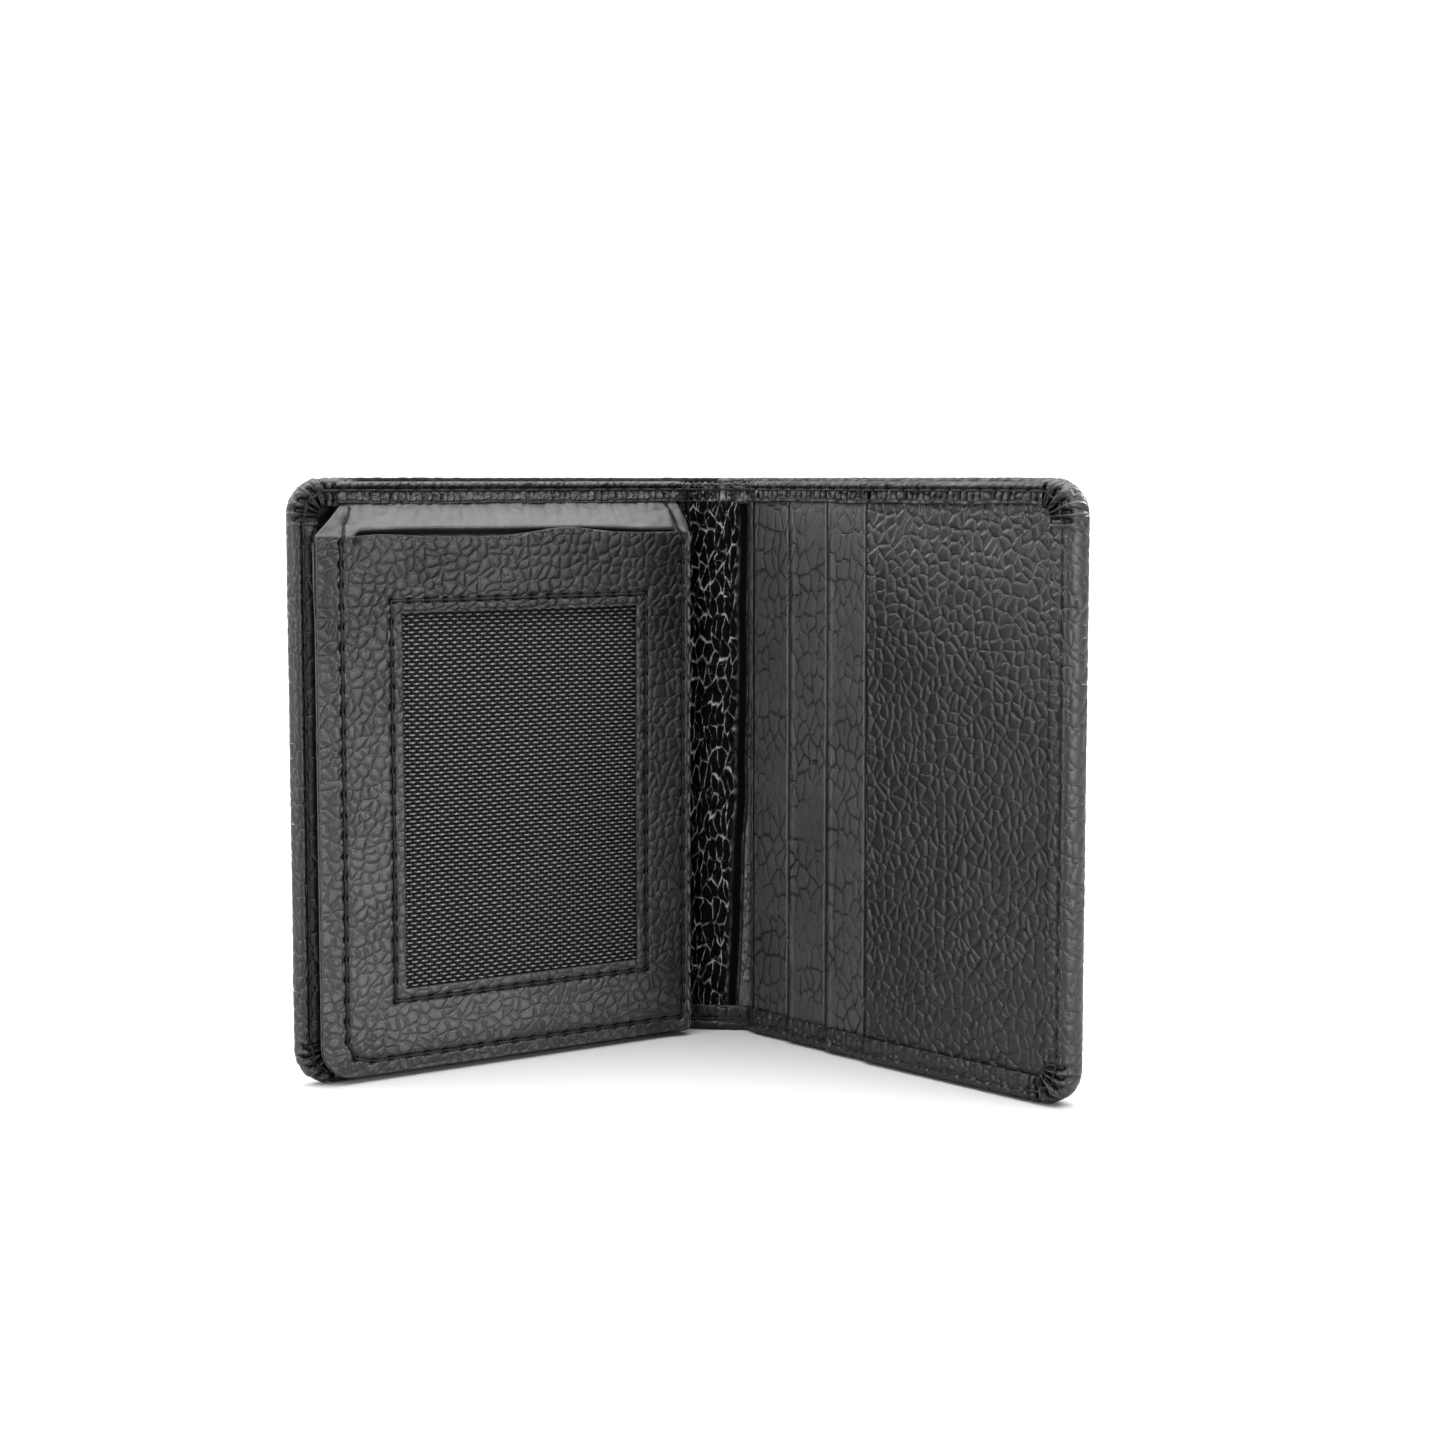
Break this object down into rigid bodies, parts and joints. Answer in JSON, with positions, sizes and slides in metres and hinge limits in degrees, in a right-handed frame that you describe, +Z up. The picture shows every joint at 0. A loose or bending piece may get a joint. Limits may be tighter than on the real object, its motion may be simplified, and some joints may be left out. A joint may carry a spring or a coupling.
{
  "type": "trifold wallet",
  "caption": "Compact pebbled leather pocket wallet standing open, with a flip-up identity leaf and stacked card pockets.",
  "frame": {"origin": "middle of the open wallet's footprint, on the surface that it stands on", "axes": "+Z up along the spine, the spine at +Y and the opening towards -Y, +X from the identity-leaf side to the card-pocket side"},
  "size_m": [0.137, 0.0588, 0.105],
  "materials": {
    "outer_leather": "pebbled, satin",
    "inner_leather": "pebbled, satin",
    "lining_fabric": "plain woven, matte",
    "window_mesh": "open plain-weave nylon",
    "sewing_thread": "waxed polyester thread"
  },
  "bodies": {
    "spine": {"spine_cover": "outer_leather", "spine_inner_panel": "inner_leather"},
    "left_panel": {"left_cover": "outer_leather", "left_bill_lining": "lining_fabric", "left_inner_panel": "inner_leather", "left_slip_pocket": "inner_leather", "leaf_hanger_tab": "inner_leather", "left_hem_seam": "sewing_thread"},
    "right_panel": {"right_cover": "outer_leather", "right_bill_lining": "lining_fabric", "right_inner_panel": "inner_leather", "card_slot1": "inner_leather", "card_slot2": "inner_leather", "card_slot3": "inner_leather", "front_pocket": "inner_leather", "right_hem_seam": "sewing_thread"},
    "leaf": {"leaf_back_panel": "inner_leather", "leaf_pocket_lining": "lining_fabric", "window_mesh": "window_mesh", "leaf_front_panel": "inner_leather", "leaf_edge_seam": "sewing_thread", "window_seam": "sewing_thread"}
  },
  "joints": [
    {"name": "left_fold", "type": "hinge", "parent": "spine", "child": "left_panel", "pos_m": [-0.0067, 0.02902, 0], "axis": [0, 0, 1], "range_deg": [-41.5, 48.5]},
    {"name": "right_fold", "type": "hinge", "parent": "spine", "child": "right_panel", "pos_m": [0.0067, 0.02902, 0], "axis": [0, 0, -1], "range_deg": [-41.5, 48.5]},
    {"name": "leaf_flip", "type": "hinge", "parent": "left_panel", "child": "leaf", "pos_m": [0.0012, 0.0302, 0.1004], "axis": [-0.749, -0.6626, 0], "range_deg": [0, 170]}
  ]
}
